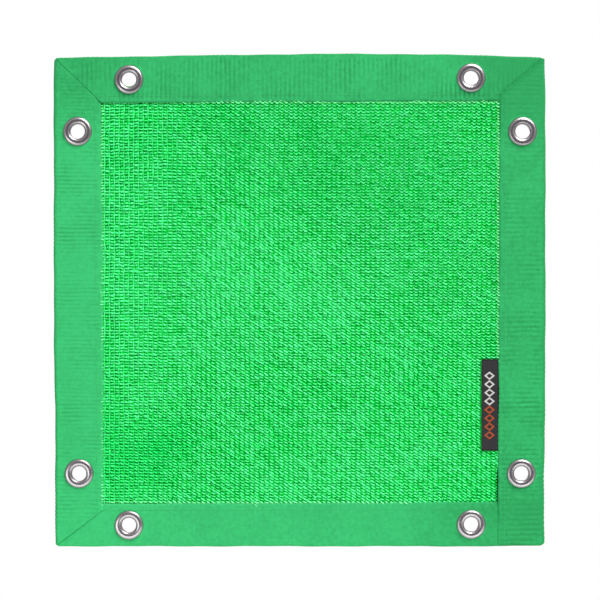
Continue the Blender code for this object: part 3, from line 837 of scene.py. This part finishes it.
def punch(shape, centre):
    """Opens a round hole in a sheet at an eyelet's place."""
    inside = set()
    for vertex in shape.verts:
        if math.hypot(vertex.co.x - centre.x, vertex.co.z - centre.z) < TAPE_HOLE_RADIUS:
            inside.add(vertex)
    gone = [face for face in shape.faces if inside.issuperset(face.verts)]
    rim = {vertex for face in shape.faces if face not in gone for vertex in face.verts} & inside
    bmesh.ops.delete(shape, geom=gone, context="FACES")
    for vertex in rim:
        offset = Vector((vertex.co.x - centre.x, 0, vertex.co.z - centre.z))
        offset *= TAPE_HOLE_RADIUS / offset.length
        vertex.co.x = centre.x + offset.x
        vertex.co.z = centre.z + offset.z


def fit_strip(mesh, border, start, end, gap):
    """Cuts a strip's ends, lets it lie as the soft border does and punches the eyelets' holes."""
    place_in_row = BORDERS.index(border)
    before = BORDERS[place_in_row - 1]
    after = BORDERS[(place_in_row + 1) % len(BORDERS)]
    shape = bmesh.new()
    shape.from_mesh(mesh)
    if start == "mitre":
        cut_end(shape, border, -1, gap, before.width + gap)
    if start == "lapped":
        cut_end(shape, border, -1, gap, LAP_SHARE * before.width + gap)
    if start == "tucked":
        cut_end(shape, border, -1, before.width - TUCK_LENGTH, before.width - TUCK_LENGTH)
    if end == "mitre":
        cut_end(shape, border, 1, gap, after.width + gap)
    places = np.array([vertex.co for vertex in shape.verts])
    x, z = settle(*rounded(places[:, 0], places[:, 2]))
    for index, vertex in enumerate(shape.verts):
        vertex.co.x = x[index]
        vertex.co.z = z[index]
    for centre in EYELET_CENTRES:
        punch(shape, centre)
    shape.normal_update()
    if sum(face.normal.y for face in shape.faces if face.calc_center_median().y <= 0) > 0:
        bmesh.ops.reverse_faces(shape, faces=shape.faces)
    shape.to_mesh(mesh)
    shape.free()
    return mesh


def tape_base(border, end):
    """The folded tape as an open flat sheet, with what its ribs need to know."""
    pitch = RIBS[border.name][0]
    steps = round(border.length / pitch * STEPS_PER_RIB)
    depth, level, out_depth, out_level = fold_section(border.width, TAPE_FACE, LEAF_STEPS)
    along = np.linspace(-border.length / 2, border.length / 2, steps + 1)[:, None]
    along = np.broadcast_to(along, (steps + 1, len(depth)))
    depth = np.broadcast_to(depth, along.shape)
    level = np.broadcast_to(level, along.shape)
    x, y, z = border.place(along, depth, level)
    relief = tape_relief(border, along, depth, x, z)
    wander = 0.00016 * np.sin(along * 61.0 + border.angle) + 0.00012 * np.sin(along * 173.0 + 3 * border.angle)
    edge = smooth(border.width - 0.006, border.width, depth) - smooth(0.006, 0.0, depth)
    x, y, z = border.place(along, depth + out_depth * relief + wander * edge, level + out_level * relief)
    if end == "turned_in":
        left = np.clip((border.length / 2 - along) / (2 * TAPE_FACE), 0.0, 1.0)
        y = y * np.sqrt(1 - (1 - left) ** 2)
    mesh = grid_mesh("tape_" + border.name, x, y, z)
    bands = smooth(0.0025, 0.006, depth) * smooth(border.width - 0.0015, border.width - 0.0035, depth)
    fold = smooth(0.002, 0.0005, depth)
    add_values(mesh, "along", along)
    # The tone carries painted light and shade: by side, along the fold and towards the corners
    tone = TAPE_TONES[border.name] + FOLD_TONES[border.name] * fold
    for corner_tone, from_end in zip(CORNER_TONES[border.name], (border.length / 2 + along, border.length / 2 - along)):
        tone = tone + corner_tone * smooth(CORNER_REACH[border.name], 0.020, from_end)
    add_values(mesh, "tone", tone)
    ribs = 0.3 + 0.7 * np.maximum(bands, 0.8 * fold)
    if border is LEFT:
        ribs = ribs * (1 - 0.55 * smooth(0.08, 0.15, along))
    if border is RIGHT:
        ribs = ribs * (0.4 + 0.6 * smooth(-0.06, 0.12, along))
    add_values(mesh, "rib", ribs)
    return mesh


def finish_piece(piece, nodes, body="panel"):
    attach(piece, body)
    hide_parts(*nodes)
    return piece


def make_tapes(material):
    ends = {"top": ("mitre", "mitre"), "right": ("lapped", "turned_in"),
            "bottom": ("tucked", "mitre"), "left": ("lapped", "mitre")}
    tree = rib_tree()

    def add_wall(carrier):
        wall = carrier.modifiers.new("wall", "SOLIDIFY")
        wall.thickness = TAPE_THICKNESS
        wall.offset = -1

    pieces = []
    for border in BORDERS:
        start, end = ends[border.name]
        mesh = fit_strip(tape_base(border, end), border, start, end, MITRE_GAP)
        pitch, depth = RIBS[border.name]
        piece = grow("binding_" + border.name, tree, mesh,
                     {"Rib pitch": pitch, "Rib depth": depth, "Material": material}, add_wall)
        pieces.append(finish_piece(piece, ["tape_" + border.name]))
    return pieces


def seam_line(border, face):
    """The sewn line on one face of a tape, as a chain of points on its surface."""
    place_in_row = BORDERS.index(border)
    before = BORDERS[place_in_row - 1]
    after = BORDERS[(place_in_row + 1) % len(BORDERS)]
    depth = border.width - SEAM_INSET
    start = before.width * depth / border.width + 0.001
    end = after.width * depth / border.width + 0.001
    if border in (TOP, BOTTOM):
        end = after.width + 0.001
    else:
        start = start * LAP_SHARE
    if border is RIGHT:
        end = 0.002
    if border is BOTTOM:
        start = before.width + 0.002
    along = np.linspace(start - border.length / 2, border.length / 2 - end, 200)
    depths = np.full_like(along, depth)
    x, y, z = border.place(along, depths, np.zeros_like(along))
    level = TAPE_FACE + tape_relief(border, along, depths, x, z)
    x, z = settle(x, z)
    mesh = bpy.data.meshes.new("seam_line")
    places = np.stack([x, face * level, z], axis=-1).tolist()
    mesh.from_pydata(places, [(index, index + 1) for index in range(len(places) - 1)], [])
    return mesh


def make_seams(material):
    tree = seam_tree()
    stitch = add_object("stitch", stitch_mesh())
    pieces = []
    for seed, border in enumerate(BORDERS):
        for kind, face in (("needle", -1), ("bobbin", 1)):
            values = {"Stitch": stitch, "Stitch pitch": STITCH_PITCH, "Unevenness": 0.06,
                      "Seed": seed, "Material": material}
            piece = grow(f"{kind}_stitches_{border.name}", tree, seam_line(border, face), values)
            pieces.append(finish_piece(piece, [f"{kind}_thread_{border.name}"]))
    bpy.data.objects.remove(stitch)
    return pieces


def make_cloth_edge(material):
    """The cloth's flat edge, which lies in the fold of the tape all the way round."""
    shape = bmesh.new()
    for border in BORDERS:
        along = np.linspace(-border.length / 2, border.length / 2, 140)[:, None]
        depth = np.linspace(CLOTH_EDGE_INSET, border.width - 0.001, 16)[None, :]
        along, depth = np.broadcast_arrays(along, depth)
        strip = grid_mesh("cloth_edge", *border.place(along, depth, np.zeros_like(along)))
        shape.from_mesh(fit_strip(strip, border, "mitre", "mitre", 0.0))
    bmesh.ops.remove_doubles(shape, verts=shape.verts, dist=0.00002)
    carrier = add_object("edge_carrier", shape_mesh("cloth_edge", shape))
    wall = carrier.modifiers.new("wall", "SOLIDIFY")
    wall.thickness = CLOTH_EDGE_THICKNESS
    wall.offset = 0
    piece = plain_piece("knit_edge", carrier)
    piece.data.materials.append(material)
    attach(piece, "panel")
    return piece


def make_knit(front_material, back_material):
    """Front floats, the chains between them and the film behind, over the sewn window."""
    left = PANEL_LEFT + TAPE_WIDTH - KNIT_TUCK
    right = PANEL_RIGHT - TAPE_WIDTH + KNIT_TUCK
    low = PANEL_BOTTOM + BOTTOM_TAPE_WIDTH - KNIT_TUCK
    high = PANEL_TOP - TAPE_WIDTH + KNIT_TUCK
    wales = int((right - left) / WALE_PITCH)
    courses = int((high - low) / COURSE_PITCH / FRONT_BANDS) * FRONT_BANDS
    width = (wales - 1) * WALE_PITCH
    height = (courses - 1) * COURSE_PITCH
    middle_x = (left + right) / 2
    middle_z = (low + high) / 2
    tree = knit_tree()
    shared = {"Middle": (middle_x, 0, middle_z),
              "Window": ((right - left) / 2 - KNIT_TUCK, 0, (high - low) / 2 - KNIT_TUCK)}
    front = []

    float_yarn = add_object("knit_float", float_mesh())
    link_yarn = add_object("knit_link", link_mesh())
    band_courses = courses // FRONT_BANDS
    for band in range(FRONT_BANDS):
        centre_z = middle_z + (band - (FRONT_BANDS - 1) / 2) * band_courses * COURSE_PITCH
        placed = {**shared, "Courses": band_courses, "Height": (band_courses - 1) * COURSE_PITCH,
                  "Centre": (middle_x, 0, centre_z), "Material": front_material}
        values = {**placed, "Yarn": float_yarn, "Wales": wales, "Width": width,
                  "Slant": FLOAT_SLANT, "Slant at left": FLOAT_SLANT_AT_LEFT,
                  "Slant above": FLOAT_SLANT_ABOVE, "Slant drift": 0.6,
                  "Stretch": FLOAT_STRETCH, "Size above": FLOAT_SIZE_ABOVE,
                  "Bend above": FLOAT_BEND_ABOVE, "Darker above": -0.25,
                  "First wale": middle_x - width / 2, "Unevenness": 0.55, "Seed": 11 + band}
        front.append(grow(f"knit_floats_{band + 1}", tree, bpy.data.meshes.new("knit_base"), values))
        values = {**placed, "Yarn": link_yarn, "Wales": wales + 1, "Width": width + WALE_PITCH,
                  "Slant": LINK_SLANT, "Slant at left": LINK_SLANT_AT_LEFT,
                  "Slant above": LINK_SLANT, "Slant drift": 0.4, "Size above": (1, 1, 1),
                  "Lift": LINK_LIFT, "Lift at left": LINK_LIFT_AT_LEFT,
                  "Unevenness": 0.4, "Seed": 31 + band}
        front.append(grow(f"knit_pillars_{band + 1}", tree, bpy.data.meshes.new("knit_base"), values))
    bpy.data.objects.remove(float_yarn)
    bpy.data.objects.remove(link_yarn)

    yarn = add_object("knit_ribbon", ribbon_mesh())
    # The film is coloured darker in the upper right: painted shade in the gaps there
    values = {**shared, "Yarn": yarn, "Wales": wales, "Courses": courses + 1, "Width": width,
              "Height": height + COURSE_PITCH, "Centre": (middle_x, 0, middle_z), "Slant drift": 0.15, "Size above": (1, 1, 1), "Darker above": 0.22,
              "Unevenness": 0.15, "Seed": 41, "Material": back_material}
    back = grow("knit_back", tree, bpy.data.meshes.new("knit_base"), values)
    bpy.data.objects.remove(yarn)
    for piece in front:
        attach(piece, "panel")
    finish_piece(back, ["cloth"])
    return back, front


def arc(centre, half_width, half_height, start, end, steps):
    """Points of an elliptical arc, with its angles in degrees."""
    points = []
    for step in range(steps + 1):
        angle = math.radians(start + (end - start) * step / steps)
        points.append((centre[0] + half_width * math.cos(angle), centre[1] + half_height * math.sin(angle)))
    return points


def turned_mesh(name, profile, dull, segments=96):
    """A ring about the Y axis from a closed profile of radius and level pairs, with the amount of rougher plating and
    painted shade for each pair.
    """
    shape = bmesh.new()
    rings = []
    for segment in range(segments):
        angle = 2 * math.pi * segment / segments
        rings.append([shape.verts.new((r * math.cos(angle), y, r * math.sin(angle))) for r, y in profile])
    for ring, following in zip(rings, rings[1:] + rings[:1]):
        for index in range(len(profile)):
            shape.faces.new((ring[index - 1], ring[index], following[index], following[index - 1]))
    mesh = shape_mesh(name, shape)
    add_values(mesh, "dull", np.tile(np.array(dull), segments))
    return mesh


def eyelet_shade_and_dullness(profile):
    """Plating is rougher and painted darker down the bore, as painted shade in the barrel, and round the outer rim, as
    painted shade where it meets the tape.
    """
    radius = np.array([place[0] for place in profile])
    bore = smooth(BORE_RADIUS + 0.0024, BORE_RADIUS + 0.0001, radius)
    rim = 0.75 * smooth(BORE_RADIUS + 0.0038, BORE_RADIUS + 0.0052, radius)
    return np.maximum(bore, rim).tolist()


def eyelet_profile():
    """The eyelet's wall: a rolled flange in front, a barrel, and an end curled outwards at the back."""
    flange_half = FLANGE_WIDTH / 2
    flange_middle = (BORE_RADIUS + flange_half, -FLANGE_SEAT)
    curl_half = CURL_WIDTH / 2
    curl_middle = (BORE_RADIUS + curl_half, CURL_SEAT)
    flange_out = arc(flange_middle, flange_half, FLANGE_ROLL + EYELET_WALL, 0, -180, 28)
    curl_out = arc(curl_middle, curl_half, CURL_ROLL + EYELET_WALL, 180, 0, 12)
    curl_in = arc(curl_middle, curl_half - EYELET_WALL, CURL_ROLL, 0, 180, 6)
    flange_in = arc(flange_middle, flange_half - EYELET_WALL, FLANGE_ROLL, -180, 0, 12)
    return flange_out + curl_out + curl_in + flange_in


def washer_profile():
    """A flat washer with its rims rounded over."""
    near = FLANGE_SEAT + WASHER_EDGE
    far = FLANGE_SEAT + WASHER_THICKNESS - WASHER_EDGE
    inner = WASHER_INNER + WASHER_EDGE
    outer = WASHER_OUTER - WASHER_EDGE
    corners = [((outer, near), -90, 0), ((outer, far), 0, 90), ((inner, far), 90, 180), ((inner, near), 180, 270)]
    profile = []
    for centre, start, end in corners:
        profile += arc(centre, WASHER_EDGE, WASHER_EDGE, start, end, 4)
    return profile


def clamped_place(centre):
    """An eyelet lies as the tape that it is clamped in does."""
    x, z = settle(np.array(centre.x), np.array(centre.z))
    return float(x), 0.0, float(z)


def make_rings(material):
    tree = eyelet_tree()
    pieces = []
    for name, node, profile, seed in (("eyelets", "eyelet_", eyelet_profile(), 5),
                                      ("eyelet_washers", "washer_", washer_profile(), 9)):
        ring = add_object("ring", turned_mesh("ring", profile, eyelet_shade_and_dullness(profile)))
        base = bpy.data.meshes.new("ring_places")
        base.from_pydata([clamped_place(centre) for centre in EYELET_CENTRES], [], [])
        piece = grow(name, tree, base, {"Ring": ring, "Tilt": 0.012, "Seed": seed, "Material": material})
        bpy.data.objects.remove(ring)
        pieces.append(finish_piece(piece, [node + place for place in EYELET_NAMES]))
    return pieces


def label_colours(along, across, length, flap):
    """The woven design: a ground with darker selvedges and a row of open diamonds, pale at one end, rust at the other."""
    colours = np.empty((len(along), 3))
    colours[:] = LABEL_GROUND
    to_edge = np.minimum(np.minimum(along, length - along), flap - across)
    colours[to_edge < LABEL_SELVEDGE_WIDTH] = LABEL_SELVEDGE
    step = np.abs((along - DIAMOND_START) / DIAMOND_PITCH % 1.0 - 0.5) * DIAMOND_PITCH
    reach = step + np.abs(across - LABEL_DESIGN_MIDDLE) * DIAMOND_PITCH / DIAMOND_WIDTH
    ring = np.abs(reach - DIAMOND_PITCH / 2 + DIAMOND_LINE) < DIAMOND_LINE
    number = (along - DIAMOND_START) // DIAMOND_PITCH
    colours[ring & (number >= 0) & (number < PALE_DIAMONDS)] = LABEL_PALE
    colours[ring & (number >= PALE_DIAMONDS) & (number < ALL_DIAMONDS)] = LABEL_RUST
    return colours


def make_label(material):
    """A label folded at its free edge, lying on the cloth, with its tail sewn in under the tape."""
    low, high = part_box("label")
    length = high.z - low.z
    flap = high.x - low.x
    width = flap + LABEL_TAIL
    middle = Vector((0, 0, (low.z + high.z) / 2))
    border = Border("label", 270, length, -low.x, width, middle)
    half_thickness = (high.y - low.y) / 2
    rest_level = (low.y + high.y) / 2
    cells = round(width / LABEL_CELL)
    depth, level, out_depth, out_level = fold_section(width, half_thickness, cells)
    rows = round(length / LABEL_CELL)
    along = np.linspace(-length / 2, length / 2, rows + 1)[:, None]
    along = np.broadcast_to(along, (rows + 1, len(depth)))
    depth = np.broadcast_to(depth, along.shape)
    level = np.broadcast_to(level, along.shape)
    tail = smooth(flap - 0.0018, flap + 0.0012, depth)
    thinning = 1 - 0.35 * tail
    wave = 0.00010 * np.sin(along * 110.0) * (1 - tail)
    curl = 0.00045 * smooth(0.006, 0.0, depth) * (0.5 + 0.5 * np.abs(along / (length / 2)) ** 3)
    y = rest_level + level * thinning + 0.00036 * tail - wave - curl
    x, _, z = border.place(along, depth, y)
    mesh = grid_mesh("woven_label", x, y, z)
    colours = mesh.attributes.new("woven", "FLOAT_COLOR", "FACE")
    face_along = (length / 2 - (along[:-1, :-1] + along[1:, 1:]) / 2).ravel()
    face_across = ((depth[:-1, :-1] + depth[1:, 1:]) / 2).ravel()
    woven = np.ones((len(face_along), 4), np.float32)
    woven[:, :3] = label_colours(face_along, face_across, length, flap)
    colours.data.foreach_set("color", woven.ravel())
    shape = bmesh.new()
    shape.from_mesh(mesh)
    bmesh.ops.recalc_face_normals(shape, faces=shape.faces)
    shape.to_mesh(mesh)
    shape.free()
    carrier = add_object("label_carrier", mesh)
    wall = carrier.modifiers.new("wall", "SOLIDIFY")
    wall.thickness = LABEL_PLY
    wall.offset = -1
    piece = plain_piece("woven_label", carrier)
    piece.data.materials.append(material)
    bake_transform(piece)
    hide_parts("label")
    return piece


def make_camera():
    camera = bpy.data.cameras.new("camera")
    camera.lens = LENS
    camera.sensor_width = SENSOR
    holder = bpy.data.objects.new("camera", camera)
    bpy.context.scene.collection.objects.link(holder)
    distance = PICTURE_SPAN / 2 / (SENSOR / 2 / LENS)
    holder.location = PANEL_MIDDLE + Vector((0, -distance, 0))
    holder.rotation_euler = (math.pi / 2, 0, 0)
    bpy.context.scene.camera = holder


def make_lamp(name, place, power, size, colour=(1, 1, 1)):
    lamp = bpy.data.lights.new(name, "AREA")
    lamp.energy = power
    lamp.size = size
    lamp.color = colour
    holder = bpy.data.objects.new(name, lamp)
    bpy.context.scene.collection.objects.link(holder)
    holder.location = place
    holder.rotation_euler = (PANEL_MIDDLE - holder.location).to_track_quat("-Z", "Y").to_euler()


def make_world():
    """A white background, and for the light a soft room that is darker on the camera's side."""
    world = bpy.data.worlds.new("studio")
    bpy.context.scene.world = world
    world.use_nodes = True
    steps = Steps(world.node_tree)
    background = world.node_tree.nodes["Background"]
    direction = steps.node("ShaderNodeTexCoord").outputs["Generated"]
    toward_back = steps.node("ShaderNodeSeparateXYZ", {0: direction}).outputs[1]
    room = steps.node("ShaderNodeMapRange", {0: toward_back, 1: -0.96, 2: -0.76},
                      interpolation_type="SMOOTHSTEP").outputs[0]
    room_colour = steps.blended(room, (0.11, 0.10, 0.11, 1), (0.42, 0.40, 0.415, 1))
    rays = steps.node("ShaderNodeLightPath").outputs
    behind = steps.node("ShaderNodeMapRange", {0: toward_back, 1: -0.2, 2: 0.2}).outputs[0]
    mirrored = steps.math("MULTIPLY", rays["Is Glossy Ray"], behind)
    seen = steps.math("MAXIMUM", steps.math("MAXIMUM", rays["Is Camera Ray"], rays["Is Transmission Ray"]), mirrored)
    steps.feed(background.inputs["Color"], steps.blended(seen, room_colour, (1, 1, 1, 1)))


def make_stage():
    shape = bmesh.new()
    bmesh.ops.create_circle(shape, cap_ends=True, segments=96, radius=FLOOR_RADIUS)
    bmesh.ops.translate(shape, verts=shape.verts, vec=(PANEL_MIDDLE.x, 0, PANEL_BOTTOM - FLOOR_DROP))
    floor = add_object("floor", shape_mesh("floor", shape))
    floor.data.materials.append(floor_material())
    make_lamp("key", PANEL_MIDDLE + Vector((1.00, -1.40, 2.25)), 109, 1.7)
    make_lamp("fill", PANEL_MIDDLE + Vector((-0.9, -1.2, -0.5)), 4, 0.9)
    make_lamp("back", PANEL_MIDDLE + Vector((-0.4, 1.4, 0.8)), 17, 1.0)
    make_world()


tape_green = tape_material()
thread_green = thread_material()
tapes = make_tapes(tape_green)
seams = make_seams(thread_green)
yarn_green = yarn_material("knit_yarn_green", (0.000, 0.840, 0.086), (0.090, 1.000, 0.340), 0.24, 1.1)
# The film's front is coloured darker than the yarn: painted shade in the gaps between the floats. Its back takes the
# cloth's own green.
film_green = yarn_material("knit_film_green", (0.000, 0.630, 0.034), (0.006, 1.000, 0.088), 0.05, 0.0,
                           back_colours=((0.022, 0.580, 0.105), (0.050, 0.800, 0.172)))
knit_back, knit_front = make_knit(yarn_green, film_green)
knit_edge = make_cloth_edge(film_green)
rings = make_rings(nickel_material())
label = make_label(label_material())

make_camera()
make_stage()
bpy.context.scene.view_settings.view_transform = "Standard"
